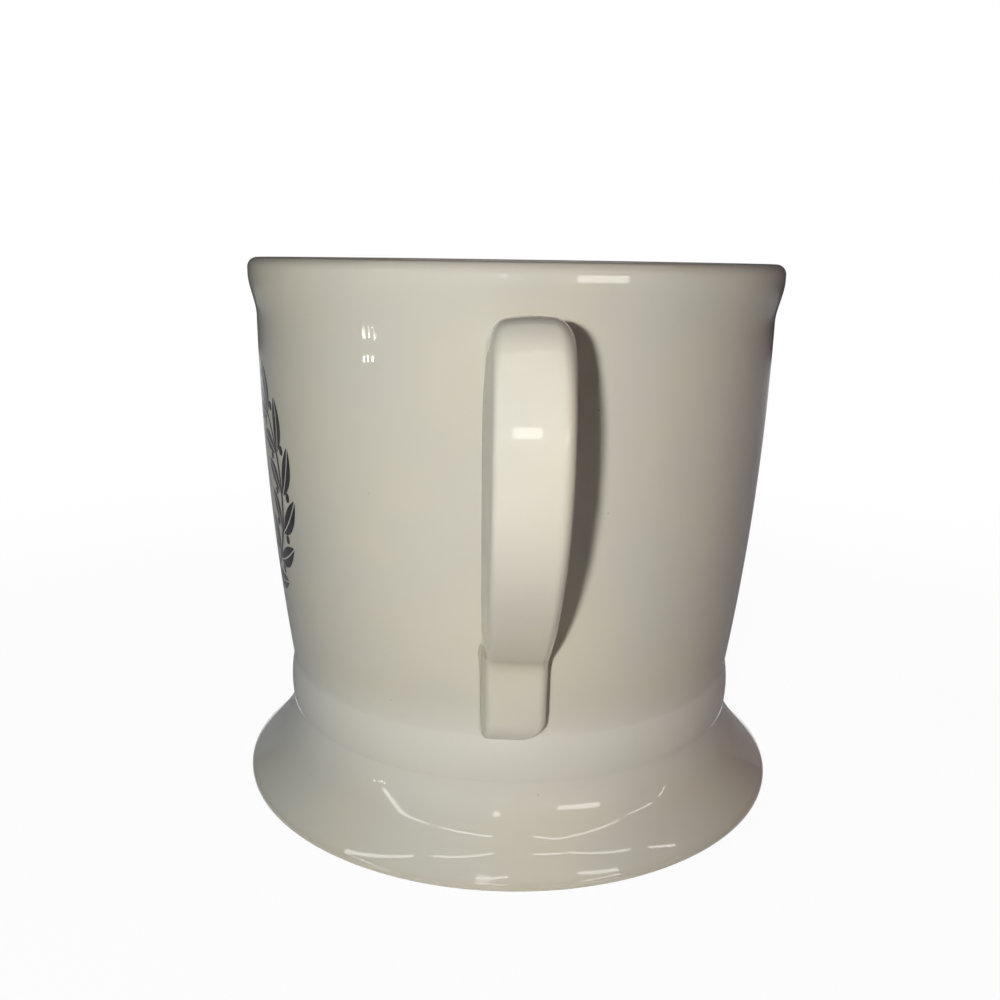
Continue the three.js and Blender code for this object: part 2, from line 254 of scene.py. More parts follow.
# %% The line of the handle
HANDLE_REACH, BAR_HEIGHT, BAR_RISE = 75.9, 86.2, 2.92
SHOULDER_LENGTH, SHOULDER_RISE, SHOULDER_INSET = 6.74, 1.32, 3.16
BACK_SWELL, BACK_SWING = 23.5, 12.84
LANDING_RISE, LANDING_GAP, LANDING_LEAN, LANDING_PULL = 19.1, 4.8, math.radians(62), 3.0
STRAP_THICKNESS, STRAP_CROWN = 7.0, 0.25
TAIL_THICKNESS, TAIL_PROUD = 5.5, 4.4
TAIL_START_RISE, TAIL_END_RISE, ROOT_DEPTH = 12.5, -0.3, 1.2
LINE_STEPS = 200


def tail_point(rise):
    height = GROOVE_HEIGHT + rise
    return np.array([cup_radius(height) + TAIL_PROUD - TAIL_THICKNESS / 2, height])


reach = HANDLE_REACH - STRAP_CROWN - STRAP_THICKNESS / 2
root = np.array([cup_radius(BAR_HEIGHT) - ROOT_DEPTH, BAR_HEIGHT])
bend = np.array([reach - SHOULDER_LENGTH, BAR_HEIGHT + BAR_RISE])
shoulder = np.array([reach - SHOULDER_INSET, BAR_HEIGHT + SHOULDER_RISE])
swing = shoulder + (BACK_SWING, -BACK_SWELL)
crest = tangent_corner(bend, bend - root, shoulder, swing - shoulder)
landing_height = GROOVE_HEIGHT + LANDING_RISE
landing = np.array([cup_radius(landing_height) + LANDING_GAP, landing_height])
landing_way = np.array([math.sin(LANDING_LEAN), math.cos(LANDING_LEAN)])
tail_start, tail_end = tail_point(TAIL_START_RISE), tail_point(TAIL_END_RISE)
heel = tangent_corner(landing, -landing_way, tail_start, tail_end - tail_start)
line = np.concatenate([
    bezier(root, bend, steps=LINE_STEPS),
    bezier(bend, crest, shoulder, steps=LINE_STEPS)[1:],
    bezier(shoulder, swing, landing + LANDING_PULL * landing_way, landing, steps=LINE_STEPS)[1:],
    bezier(landing, heel, tail_start, steps=LINE_STEPS)[1:],
    bezier(tail_start, tail_end, steps=LINE_STEPS)[1:],
])
line_length = np.concatenate([[0], np.cumsum(np.linalg.norm(np.diff(line, axis=0), axis=1))])
line_way = np.gradient(line, line_length, axis=0)
line_way /= np.linalg.norm(line_way, axis=1)[:, None]
strap_length = line_length[-1]
tail_share = 1 - (TAIL_START_RISE - TAIL_END_RISE) / strap_length
print("the strap is", round(strap_length, 1), "mm long")

# %% [markdown]
# The strap was pulled by hand, so its section isn't even. It starts narrow and soft at the
# wall, then the flanks lean out from a narrow outer face to a wider inner one. The outer face
# is turned a little to the viewer's left, and the tail lies to the left as well. Each of the
# three sections is four corners, with the roundness of each corner. `station` blends them
# along the strap. Near its end the tail slopes towards the wall. Both of its sides shift to the
# left along quarter circles, the right one far and the left one hardly, and its last edge dives
# into the wall, which gives the tail its round tip.

# %% A station of the strap
ROOT_CORNERS = ((5.6, 3.5), (-4.6, 3.5), (-5.6, -1.9), (6.0, -1.9))
BACK_CORNERS = ((5.7, 3.96), (-4.5, 3.04), (-6.5, -3.5), (6.0, -3.5))
TAIL_CORNERS = ((4.75, 2.9), (-4.9, 2.6), (-6.2, -2.75), (4.6, -2.75))
CORNERS = np.array([ROOT_CORNERS, BACK_CORNERS, TAIL_CORNERS])
ROUNDINGS = np.array([(2.8, 1.9, 1.2, 1.2), (1.8, 1.1, 1.4, 1.4), (1.3, 1.1, 1.2, 1.2)])
CROWNS = np.array([0.7, 0.04, 0.1])
BAR_UNTIL, BACK_FROM, TAPER_START = 14.0, 30.0, 0.3
TIP_LENGTHS, TIP_SHIFTS = np.array((5.5, 3.9)), np.array((5.2, 0.7))
TIP_EDGE, TIP_DEPTH = 1.2, 2.2
TIP_SLOPE, TIP_FALL, TIP_BEND = 3.9, 2.6, 1.1
EDGE_POINTS, FACE_POINTS = 8, 10


def along_line(table, length):
    return np.array([np.interp(length, line_length, column) for column in table.T])


def quarter_circle(share):
    """Rises from 0 to 1, flat at first and upright at last."""
    return 1 - np.sqrt(1 - np.clip(share, 0, 1) ** 2)


def station(length):
    """Middle and direction in side view, then corners, roundings and crown, and the dive."""
    on_back = smoothstep(length, BAR_UNTIL, BACK_FROM)
    on_tail = smoothstep(length / strap_length, TAPER_START, tail_share)
    corners, roundings, crown = (
        lerp(lerp(table[0], table[1], on_back), table[2], on_tail)
        for table in (CORNERS, ROUNDINGS, CROWNS)
    )
    to_go = strap_length - length
    right_shift, left_shift = TIP_SHIFTS * quarter_circle(1 - to_go / TIP_LENGTHS)
    shifts = np.where(corners[:, 0] > 0, right_shift, left_shift)
    corners = corners - shifts[:, None] * (1, 0)
    slope = TIP_FALL * np.clip(1 - to_go / TIP_SLOPE, 0, 1) ** TIP_BEND
    dive = slope + TIP_DEPTH * quarter_circle(1 - to_go / TIP_EDGE)
    return along_line(line, length), along_line(line_way, length), corners, roundings, crown, dive


def section(corners, roundings, crown):
    """Points round the strap: the first number runs across it, the second out of it."""
    before, after = np.roll(corners, 1, axis=0), np.roll(corners, -1, axis=0)
    edges = []
    for corner, rounding, back, ahead in zip(corners, roundings, before - corners, after - corners):
        back, ahead = back / np.linalg.norm(back), ahead / np.linalg.norm(ahead)
        half = math.acos(np.dot(back, ahead)) / 2
        middle_way = (back + ahead) / np.linalg.norm(back + ahead)
        centre = corner + middle_way * rounding / math.sin(half)
        start = corner + back * rounding / math.tan(half) - centre
        turn = math.atan2(start[1], start[0])
        edges.append(arc(centre, rounding, turn, turn + math.pi - 2 * half, EDGE_POINTS))
    share = np.linspace(0, 1, FACE_POINTS + 1)[1:-1, None]
    points = []
    for side, edge_arc in enumerate(edges):
        points.extend([edge_arc, lerp(edge_arc[-1], edges[(side + 1) % len(edges)][0], share)])
    points = np.concatenate(points)
    right, left = corners[0][0], corners[1][0]
    off_middle = (2 * points[:, 0] - right - left) / (right - left)
    points[:, 1] += np.where(points[:, 1] > 0, crown * np.clip(1 - off_middle**2, 0, 1), 0)
    return points


def placed(middle, way, across, out):
    """A point of the strap in the mug's frame: the strap points towards -Y."""
    return np.array([across, -(middle[0] - way[1] * out), middle[1] + way[0] * out])


print("a section has", len(section(CORNERS[0], ROUNDINGS[0], CROWNS[0])), "points")

# %% [markdown]
# Now the loft: rows of section points, quads between neighbouring rows, and a face on each
# end, both of which are hidden in the wall. Stations stand close together at the tip, in
# equal steps round its quarter circle. Where the strap lands, the outer face makes a sharp
# inner fold, which glaze would fill, so each row is averaged with a few neighbours.

# %% The strap
ROW_SPACING, TIP_STEPS, SOFT_ROWS = 0.45, 24, 6


def mesh_from_rows(name, rows, ring=False):
    count = len(rows[0])
    points = np.concatenate(rows) * MM + (0, axis_y, 0)
    faces = []
    for row in range(len(rows) - (0 if ring else 1)):
        here, there = row * count, (row + 1) % len(rows) * count
        for j in range(count):
            k = (j + 1) % count
            faces.append((here + j, here + k, there + k, there + j))
    if not ring:
        faces.append(tuple(range(count))[::-1])
        faces.append(tuple(range(len(points) - count, len(points))))
    mesh = bpy.data.meshes.new(name)
    mesh.from_pydata(points.tolist(), [], faces)
    bm = bmesh.new()
    bm.from_mesh(mesh)
    bmesh.ops.recalc_face_normals(bm, faces=bm.faces)
    bm.to_mesh(mesh)
    bm.free()
    return mesh


tip_angles = np.linspace(0, math.pi / 2, TIP_STEPS + 1)
tip_length = TIP_LENGTHS.max()
before_tip = np.arange(0, strap_length - tip_length, ROW_SPACING)
lengths = np.concatenate([before_tip, strap_length - tip_length * (1 - np.sin(tip_angles))])
strap_rows = []
for length in lengths:
    middle, way, *shape, dive = station(length)
    row = [placed(middle, way, across, out - dive) for across, out in section(*shape)]
    strap_rows.append(np.array(row))
padded = np.pad(strap_rows, ((SOFT_ROWS, SOFT_ROWS), (0, 0), (0, 0)), mode="edge")
weights = SOFT_ROWS + 1 - abs(np.arange(-SOFT_ROWS, SOFT_ROWS + 1))
shifted = [padded[k:k + len(strap_rows)] for k in range(len(weights))]
strap_rows = sum(weight * rows for weight, rows in zip(weights, shifted)) / weights.sum()
strap_mesh = mesh_from_rows("strap_handle", strap_rows)
strap = finish_piece("strap_handle", strap_mesh, "handle", slot="glaze")

# %% [markdown]
# ## The slip fillets
# Where strap and wall meet, the potter wipes the slip into a small hollow fillet. It could be
# a boolean and a bevel, but a bevel on such an edge tears. Instead each fillet is drawn where
# it belongs. A distance function says how far a point lies outside the strap. On the wall, the
# line where that distance is zero is found by halving, in all directions from the middle of
# the joint. There, one leg goes up the strap and one along the wall, and a curve joins them.

# %% How far a point lies outside the strap
PROBE = 0.1


def strap_distance(point):
    """Below zero inside the strap: measured to the section that passes through the point."""
    side = np.array([-point[1], point[2]])
    nearest = np.argmin(np.linalg.norm(line - side, axis=1))
    middle, way, *shape, dive = station(line_length[nearest])
    here = np.array([point[0], np.dot(side - middle, (-way[1], way[0])) + dive])
    past = max(0.0, np.dot(side - middle, way) if nearest == len(line) - 1 else 0.0)
    loop = section(*shape)
    chord = np.roll(loop, -1, axis=0) - loop
    to_point = here - loop
    share = np.clip((to_point * chord).sum(axis=1) / (chord**2).sum(axis=1), 0, 1)
    gap = np.linalg.norm(to_point - share[:, None] * chord, axis=1).min()
    side_of = chord[:, 0] * to_point[:, 1] - chord[:, 1] * to_point[:, 0]
    above, next_above = to_point[:, 1] >= 0, np.roll(to_point[:, 1], -1) >= 0
    climbs = (above & ~next_above & (side_of > 0)).sum()
    falls = (~above & next_above & (side_of < 0)).sum()
    inside = climbs != falls
    return -gap if inside and past == 0 else math.hypot(0 if inside else gap, past)


def on_wall(across, height):
    radius = cup_radius(height)
    return np.array([across, -math.sqrt(radius**2 - across**2), height])


def wall_distance(point):
    return math.hypot(point[0], point[1]) - cup_radius(point[2])


def slope_of(function, point):
    steps = np.eye(3) * PROBE
    slope = np.array([function(point + step) - function(point - step) for step in steps])
    return slope / np.linalg.norm(slope)


lip_gap = strap_distance(on_wall(0, LIP_HEIGHT))
print("the wall at the lip lies", round(lip_gap, 2), "mm from the strap")

# %% [markdown]
# Each fillet is a closed ring. Its cross section is the hollow curve and one point that is
# buried between strap and wall, so the ring has no open edge. The direction away from the joint
# comes from the found line itself, and the slope of the strap is averaged over a few
# neighbours, because it jumps where one face of the strap meets the next.

# %% The two fillets
FILLET_STEPS, RING_STEPS, HALVINGS, BURIED = 8, 180, 24, 0.5
SMOOTHING, NEIGHBOURS, LONGEST_LEG = 3, 8, 2.2


def joint_edge(height, half_width, half_height, turn):
    """The place on the wall where the strap's skin meets it, in one direction from the joint."""
    near, far = 0.0, 1.0
    for _ in range(HALVINGS):
        half = (near + far) / 2
        across, rise = half * half_width * math.cos(turn), half * half_height * math.sin(turn)
        spot = on_wall(across, height + rise)
        near, far = (half, far) if strap_distance(spot) < 0 else (near, half)
    return spot


def neighbour_mean(vectors, reach):
    turns = range(-reach, reach + 1)
    return sum(np.roll(vectors, turn, axis=0) for turn in turns) / len(turns)


def averaged(vectors):
    mean = neighbour_mean(vectors, NEIGHBOURS)
    return mean / np.linalg.norm(mean, axis=1)[:, None]


def fillet_ring(name, node, height, half_width, half_height, size):
    turns = np.linspace(0, math.tau, RING_STEPS, endpoint=False)
    found = np.array([joint_edge(height, half_width, half_height, turn) for turn in turns])
    loop = np.array([on_wall(across, up) for across, _, up in neighbour_mean(found, SMOOTHING)])
    off_wall = np.array([slope_of(wall_distance, point) for point in loop])
    off_strap = averaged(np.array([slope_of(strap_distance, point) for point in loop]))
    along_loop = averaged(np.roll(loop, -1, axis=0) - np.roll(loop, 1, axis=0))
    rows = []
    for point, wall_way, strap_way, loop_way in zip(loop, off_wall, off_strap, along_loop):
        along_wall = np.cross(loop_way, wall_way)
        along_wall *= np.sign(np.dot(along_wall, strap_way)) / np.linalg.norm(along_wall)
        lean = np.dot(strap_way, wall_way)
        up_strap = lean * -along_wall + math.sqrt(1 - lean**2) * wall_way
        cosine = np.dot(up_strap, along_wall)
        leg = size * min(LONGEST_LEG, math.sqrt((1 + cosine) / (1 - cosine)))
        skin = bezier(point + leg * up_strap, point, point + leg * along_wall, steps=FILLET_STEPS)
        rows.append(np.vstack([skin, point - BURIED * (along_wall + wall_way)]))
    return finish_piece(name, mesh_from_rows(name, rows, ring=True), node, slot="slip")


ROOT_FILLET, ROOT_SEARCH = 1.5, (12, 10)
TAIL_FILLET, TAIL_SEARCH = 0.55, (12, 22)
tail_middle = GROOVE_HEIGHT + (TAIL_START_RISE + TAIL_END_RISE) / 2
upper_fillet = fillet_ring("upper_fillet", "upper_handle_slip", BAR_HEIGHT, *ROOT_SEARCH, ROOT_FILLET)
lower_fillet = fillet_ring("tail_fillet", "lower_handle_slip", tail_middle, *TAIL_SEARCH, TAIL_FILLET)

# %% [markdown]
# ## A small language for shaders
# A glaze is a sum of small effects, and each is arithmetic on positions. Drawn by hand that is
# a web of Math nodes. So one class wraps a socket: adding or multiplying two of them adds the
# Math node, and `node` makes any other kind, with its settings first and its inputs after.

# %% The class that wraps a socket
class Wire:
    def __init__(self, tree, socket=None):
        self.tree = tree
        self.socket = socket

    def node(self, kind, settings=None, inputs=None, output=0):
        made = self.tree.nodes.new(kind)
        for name, value in (settings or {}).items():
            setattr(made, name, value)
        for key, value in (inputs or {}).items():
            if isinstance(value, Wire):
                self.tree.links.new(value.socket, made.inputs[key])
            else:
                made.inputs[key].default_value = value
        return Wire(self.tree, made.outputs[output] if made.outputs else None)

    def output(self, name):
        """Another output of the same node."""
        return Wire(self.tree, self.socket.node.outputs[name])

    def math(self, operation, *values):
        return self.node("ShaderNodeMath", {"operation": operation}, dict(enumerate(values)))

    def __add__(self, other):
        return self.math("ADD", self, other)

    __radd__ = __add__

    def __sub__(self, other):
        return self.math("SUBTRACT", self, other)

    def __rsub__(self, other):
        return self.math("SUBTRACT", other, self)

    def __mul__(self, other):
        return self.math("MULTIPLY", self, other)

    __rmul__ = __mul__

    def __abs__(self):
        return self.math("ABSOLUTE", self)

    def least(self, other):
        return self.math("MINIMUM", self, other)

    def most(self, other):
        return self.math("MAXIMUM", self, other)

    def rises(self, low, high):
        """A smooth step from 0 at low to 1 at high."""
        return self.node(
            "ShaderNodeMapRange", {"interpolation_type": "SMOOTHSTEP"},
            {"Value": self, "From Min": low, "From Max": high},
        )

    def noise(self, size, detail=2.0):
        """Soft noise between 0 and 1 whose blobs are about that many millimetres wide."""
        inputs = {"Vector": self, "Scale": 1 / size, "Detail": detail}
        return self.node("ShaderNodeTexNoise", {}, inputs)

    def tint(self, share, colour):
        """This colour, mixed with another by a share."""
        inputs = {0: share, 6: self, 7: colour}
        return self.node("ShaderNodeMix", {"data_type": "RGBA"}, inputs, output=2)


def linear(red, green, blue):
    """A colour as a paint chart gives it, in the numbers that a shader works with."""
    parts = np.array((red, green, blue)) / 255
    dark, bright = parts / 12.92, ((parts + 0.055) / 1.055) ** 2.4
    return (*np.where(parts <= 0.04045, dark, bright).tolist(), 1.0)


print("a middle grey is", round(linear(128, 128, 128)[0], 3))

# %% [markdown]
# ## The wreath
# One side of the mug carries a dark transfer print. Here it is a plain wreath: two leafy sprigs
# that rise from a berry at the bottom. It is drawn on the flattened wall, with one number along
# the girth and one up the wall. Polar coordinates turn it into a straight band of cells, and
# each cell holds an outer and an inner leaf with a berry at the end of each, so one formula
# draws all of them.

# %% The wreath as a mask
WREATH_HEIGHT, WREATH_RADIUS, WREATH_GIRTH, WREATH_SHIFT = 60.0, 19.5, 47.6, 5.0
CELL, FIRST_CELL, LAST_CELL, END_BERRY = 7.4, 1.0, 8.0, 0.13
LEAF_LENGTH, LEAF_WIDTH, LEAF_LEAN, LEAF_OFFSET = 4.7, 1.75, math.radians(34), 3.1
VEIN, STEM, BERRY, BERRY_OFFSET, KNOT = 0.14, 0.42, 0.8, 2.7, 1.6
PRINT_EDGE, SIDE_RAMP = 0.07, 5


def printed(inside_by):
    """1 inside the print's outline, 0 outside, with a very short ramp between."""
    return inside_by.rises(-PRINT_EDGE, PRINT_EDGE)


def leaf(along, across):
    """A pointed leaf with a bare middle vein, leaning away from the stem."""
    cosine, sine = math.cos(LEAF_LEAN), math.sin(LEAF_LEAN)
    off = across - LEAF_OFFSET
    length = along * cosine + off * sine
    breadth = abs(off * cosine - along * sine)
    outline = LEAF_WIDTH - length * length * (LEAF_WIDTH / LEAF_LENGTH**2)
    return printed((outline - breadth).least(breadth - VEIN))


def wreath(x, y, z):
    girth = x.math("ARCTAN2", y, 0 - x) * WREATH_GIRTH + WREATH_SHIFT
    rise = z - WREATH_HEIGHT
    away = x.math("SQRT", girth * girth + rise * rise)
    turn = x.math("ARCTAN2", abs(girth), 0 - rise)
    cells = turn * (WREATH_RADIUS / CELL)
    along = (x.math("FRACT", cells) - 0.5) * CELL
    between = (x.math("FRACT", cells + 0.5) - 0.5) * CELL
    across = away - WREATH_RADIUS
    leaves = leaf(along, across).most(leaf(along, 0 - across))
    berry_off = abs(across) - BERRY_OFFSET
    berries = printed(BERRY - x.math("SQRT", between * between + berry_off * berry_off))
    stem = printed(STEM - abs(across))
    from_first, to_last = cells - FIRST_CELL, LAST_CELL - cells
    leafy = printed(from_first.least(to_last) * CELL)
    berried = printed((from_first.least(to_last) + END_BERRY) * CELL)
    stemmed = printed(to_last * CELL)
    knot_rise = rise + WREATH_RADIUS
    knot = printed(KNOT - x.math("SQRT", girth * girth + knot_rise * knot_rise))
    facing = (0 - x).rises(0, SIDE_RAMP)
    return (leaves * leafy).most(berries * berried).most(stem * stemmed).most(knot) * facing


print("each sprig has", round(LAST_CELL - FIRST_CELL), "pairs of leaves")

# %% [markdown]
# ## The glaze
# The glaze is an off-white glass over pale clay. Its colour drifts a little over the surface.
# It pools in the groove and the seam, where a paler band is partly pooled glaze and partly painted
# light that brightens the lower wall and the top of the foot, and it runs thin and warmer on some
# edges. Iron in the clay leaves a few tiny specks. The surface is never quite flat: long waves bend
# the reflections and a fine ripple softens them. The print lies in the glaze and is slightly duller,
# and the flat that the mug stands on is bare, grainy clay. Sizes and depths are in millimetres, and
# each EDGE is the pair of noise levels between which a patch fades in.

# %% Colours and sizes of the glaze
# The second colour is the paler band at groove and seam: pooled glaze, and painted light on the lower
# wall.
GLAZE, POOLED_AND_LIT, THIN = linear(214, 210, 196), linear(231, 228, 216), linear(205, 196, 174)
SPECK, PRINT, CLAY = linear(120, 100, 78), linear(22, 23, 25), linear(196, 176, 148)
DRIFT, DRIFT_SIZE, DRIFT_EDGE = linear(219, 213, 193), 26, (0.3, 0.7)
GLOSS, GLOSS_DRIFT, GLOSS_SIZE, PRINT_GLOSS, CLAY_GLOSS = 0.022, 0.012, 9, 0.1, 0.85
GLAZE_IOR = 1.4
WAVE_SIZE, WAVE_DEPTH, RIPPLE_SIZE, RIPPLE_DEPTH = 17.0, 0.02, 2.2, 0.0007
INSIDE_UNDER, OUTSIDE_OVER = 40, 43
POOL_LIGHT_NEAR, POOL_LIGHT_FAR, POOL_AND_LIGHT_SHARE = 2, 12, 0.7
THIN_LEAST, THIN_SPREAD, THIN_SIZE = 0.35, 0.4, 3
SPECK_SPACING, SPECK_RADIUS, SPECK_SHARE = 6.0, 0.132, 0.7
WORN_LEAST, WORN_SIZE, WORN_EDGE = 0.93, 0.8, (0.35, 0.5)
BARE_UNDER, GLAZED_OVER = 0.01, 0.06
GRAIN_SIZE, GRAIN_DETAIL, GRAIN_EDGE, GRAIN_SHARE, GRAIN_DEPTH = 0.7, 4, (0.5, 0.75), 0.4, 0.06
print("the glaze is", [round(part, 3) for part in GLAZE[:3]])

# %% [markdown]
# Melted glaze draws back from every edge, and the clay shows through a little. Three masks say
# where: the top of the lip, the two sides of the strap, and a narrow band just above the ring
# that the mug stands on.

# %% Where the glaze runs thin
LIP_THIN_FROM, LIP_THIN_FULL = MUG_HEIGHT - 2.2, MUG_HEIGHT - 0.2
STRAP_THIN_FROM, STRAP_THIN_FULL = 4.4, 5.8
FOOT_THIN_FROM, FOOT_THIN_FULL, FOOT_THIN_UNTIL = 0.1, 0.4, 1.6


def lip_runs_thin(x, z):
    return z.rises(LIP_THIN_FROM, LIP_THIN_FULL)


def strap_runs_thin(x, z):
    return abs(x).rises(STRAP_THIN_FROM, STRAP_THIN_FULL)


def foot_runs_thin(x, z):
    return (1 - z.rises(FOOT_THIN_FULL, FOOT_THIN_UNTIL)) * z.rises(FOOT_THIN_FROM, FOOT_THIN_FULL)


print("thin glaze on the lip starts at", LIP_THIN_FROM, "mm")

# %% [markdown]
# One function makes the glaze of every piece. Positions come from the object's own coordinates,
# in millimetres from the cup's axis. Colour, gloss and height are built up one effect after the
# other, and the height ends in a Bump node.

# %% The glaze
def glaze(name, thin_edges=None, with_print=False, standing_ring=False):
    material = bpy.data.materials.new(name)
    material.use_nodes = True
    tree = material.node_tree
    shader = tree.nodes["Principled BSDF"]
    shader.inputs["IOR"].default_value = GLAZE_IOR
    start = Wire(tree)
    place = start.node("ShaderNodeTexCoord", output="Object")
    place = place.node(
        "ShaderNodeVectorMath", {"operation": "MULTIPLY_ADD"},
        {0: place, 1: (1 / MM,) * 3, 2: (0, -axis_y / MM, 0)},
    )
    x = place.node("ShaderNodeSeparateXYZ", {}, {0: place})
    y, z = x.output("Y"), x.output("Z")
    outer = x.math("SQRT", x * x + y * y).rises(INSIDE_UNDER, OUTSIDE_OVER)

    drifting = place.noise(DRIFT_SIZE).rises(*DRIFT_EDGE)
    colour = place.node(
        "ShaderNodeMix", {"data_type": "RGBA"}, {0: drifting, 6: GLAZE, 7: DRIFT}, output=2
    )
    # Paler band round groove and seam: pooled glaze, and painted light on the lower wall and the top
    # of the foot.
    pool_and_light = 1 - abs(z - (GROOVE_HEIGHT + SEAM_HEIGHT) / 2).rises(POOL_LIGHT_NEAR, POOL_LIGHT_FAR)
    colour = colour.tint(pool_and_light * outer * POOL_AND_LIGHT_SHARE, POOLED_AND_LIT)
    if thin_edges:
        thinness = THIN_LEAST + THIN_SPREAD * place.noise(THIN_SIZE)
        colour = colour.tint(thin_edges(x, z) * thinness, THIN)
    speck = place.node("ShaderNodeTexVoronoi", {}, {"Vector": place, "Scale": 1 / SPECK_SPACING})
    speck_reach = SPECK_RADIUS / SPECK_SPACING
    colour = colour.tint((1 - speck.rises(speck_reach / 2, speck_reach)) * SPECK_SHARE, SPECK)
    gloss = GLOSS + GLOSS_DRIFT * place.noise(GLOSS_SIZE)
    waves = place.noise(WAVE_SIZE, 0) * (WAVE_DEPTH * MM)
    height = waves + place.noise(RIPPLE_SIZE) * (RIPPLE_DEPTH * MM)
    if with_print:
        dark = wreath(x, y, z) * outer
        worn = WORN_LEAST + (1 - WORN_LEAST) * place.noise(WORN_SIZE).rises(*WORN_EDGE)
        colour = colour.tint(dark * worn, PRINT)
        gloss = gloss + dark * (PRINT_GLOSS - GLOSS)
    if standing_ring:
        bare = 1 - z.rises(BARE_UNDER, GLAZED_OVER)
        grain = place.noise(GRAIN_SIZE, GRAIN_DETAIL)
        grainy = bare * grain.rises(*GRAIN_EDGE) * GRAIN_SHARE
        colour = colour.tint(bare, CLAY).tint(grainy, SPECK)
        gloss = gloss + bare * (CLAY_GLOSS - GLOSS)
        height = height + bare * grain * (GRAIN_DEPTH * MM)
    normal = height.node("ShaderNodeBump", {}, {"Strength": 1.0, "Distance": 1.0, "Height": height})
    for socket, wire in (("Base Color", colour), ("Roughness", gloss), ("Normal", normal)):
        tree.links.new(wire.socket, shader.inputs[socket])
    print(name, "has", len(tree.nodes), "nodes")
    return material


cup.data.materials.append(glaze("cup_glaze", lip_runs_thin, with_print=True))
foot.data.materials.append(glaze("foot_glaze", foot_runs_thin, standing_ring=True))
strap.data.materials.append(glaze("strap_glaze", strap_runs_thin))
slip_glaze = glaze("slip_glaze")
for piece in (seam, upper_fillet, lower_fillet):
    piece.data.materials.append(slip_glaze)

# %% [markdown]
# ## The camera
# The camera stands close, level with the lip, a little to the left of the handle, and looks
# down. So the inside stays hidden and the foot shows as a wide ellipse. Its place is given by
# the distance from the cup's axis, the height, and three turns.

# %% The camera
CAMERA_DISTANCE, CAMERA_HEIGHT, HANDLE_TURN = 195.23, 100.5, math.radians(1.7)
PITCH, ROLL, YAW = math.radians(13.793), math.radians(0.845), math.radians(-0.7)
FRAME_PIXELS, FOCAL_PIXELS, SENSOR, CLIP_START = 1000, 994.8, 36.0, 0.01

about_axis = Matrix.Translation((0, axis_y, 0)) @ Matrix.Rotation(-HANDLE_TURN, 4, "Z")
camera_data = bpy.data.cameras.new("camera")
camera_data.sensor_width = SENSOR
camera_data.lens = FOCAL_PIXELS * SENSOR / FRAME_PIXELS
camera_data.clip_start = CLIP_START
camera = bpy.data.objects.new("camera", camera_data)
bpy.context.scene.collection.objects.link(camera)
ahead = Vector((math.sin(YAW) * math.cos(PITCH), math.cos(YAW) * math.cos(PITCH), -math.sin(PITCH)))
level_right = ahead.cross(Vector((0, 0, 1))).normalized()
level_up = level_right.cross(ahead)
right = math.cos(ROLL) * level_right + math.sin(ROLL) * level_up
up = math.cos(ROLL) * level_up - math.sin(ROLL) * level_right
stand = Matrix((right, up, -ahead)).transposed().to_4x4()
stand.translation = Vector((0, -CAMERA_DISTANCE, CAMERA_HEIGHT)) * MM
camera.matrix_world = about_axis @ stand
bpy.context.scene.camera = camera
print("lens:", round(camera_data.lens, 2), "mm, at", camera.matrix_world.translation.to_tuple(4))

# %% [markdown]
# ## Floor and background
# The background is white and the floor keeps a soft shadow. For rays from the camera, and for
# those that the glaze reflects, the floor is mostly a white glow with a share of lit white
# near the mug, and further off it is all glow, so there is no horizon. For bounced light it is
# a plain grey surface, so that it doesn't flood the mug from below. Two helpers serve the rest
# of the studio too: one starts a material without nodes, and one sets up a mesh that belongs to
# the stage and not to the mug.

# %% Floor
FLOOR_SIZE, FLOOR_GLOW, FLOOR_COLOUR = 6.0, 0.95, (0.46, 0.44, 0.41, 1)
WHITE, LIT_WHITE = (1, 1, 1, 1), (0.95, 0.95, 0.95, 1)
SHADOW_REACH, GLOW_REACH = 0.1, 0.32


def seen_directly(wire):
    """1 for rays from the camera and for those that a surface mirrors or lets through."""
    path = wire.node("ShaderNodeLightPath")
    return path.most(path.output("Is Glossy Ray")).most(path.output("Is Transmission Ray"))


def blank_material(name):
    """A material without nodes, and the wire to start from."""
    material = bpy.data.materials.new(name)
    material.use_nodes = True
    material.node_tree.nodes.clear()
    return material, Wire(material.node_tree)


def stage_mesh(name, points, faces, material, mirrored_only=False):
    mesh = bpy.data.meshes.new(name)
    mesh.from_pydata(points, [], faces)
    mesh.materials.append(material)
    thing = bpy.data.objects.new(name, mesh)
    bpy.context.scene.collection.objects.link(thing)
    if mirrored_only:
        thing.visible_camera = False
        thing.visible_shadow = False
        thing.visible_diffuse = False


paper, sheet = blank_material("white_paper")
place = sheet.node("ShaderNodeTexCoord", output="Object")
reach_out = place.node("ShaderNodeVectorMath", {"operation": "LENGTH"}, {0: place}, output="Value")
share = FLOOR_GLOW + (1 - FLOOR_GLOW) * reach_out.rises(SHADOW_REACH, GLOW_REACH)
glow = sheet.node("ShaderNodeEmission", {}, {"Color": WHITE, "Strength": 1.0})
lit = sheet.node("ShaderNodeBsdfDiffuse", {}, {"Color": LIT_WHITE})
plain = sheet.node("ShaderNodeBsdfDiffuse", {}, {"Color": FLOOR_COLOUR})
shown = sheet.node("ShaderNodeMixShader", {}, {0: share, 1: lit, 2: glow})
surface = sheet.node("ShaderNodeMixShader", {}, {0: seen_directly(sheet), 1: plain, 2: shown})
sheet.node("ShaderNodeOutputMaterial", {}, {"Surface": surface})
half = FLOOR_SIZE / 2
floor_corners = [(-half, -half, 0), (half, -half, 0), (half, half, 0), (-half, half, 0)]
stage_mesh("floor", floor_corners, [(0, 1, 2, 3)], paper)
print("the floor is", FLOOR_SIZE, "m wide")

# %% [markdown]
# ## The world
# The world does the same as the floor: it is white to look at, and as a light it is a dim fill,
# cool from the left and warm from the right. From the front none comes, because that is where
# the photographer stands, so the second shader of that mix is left out, which is darkness.

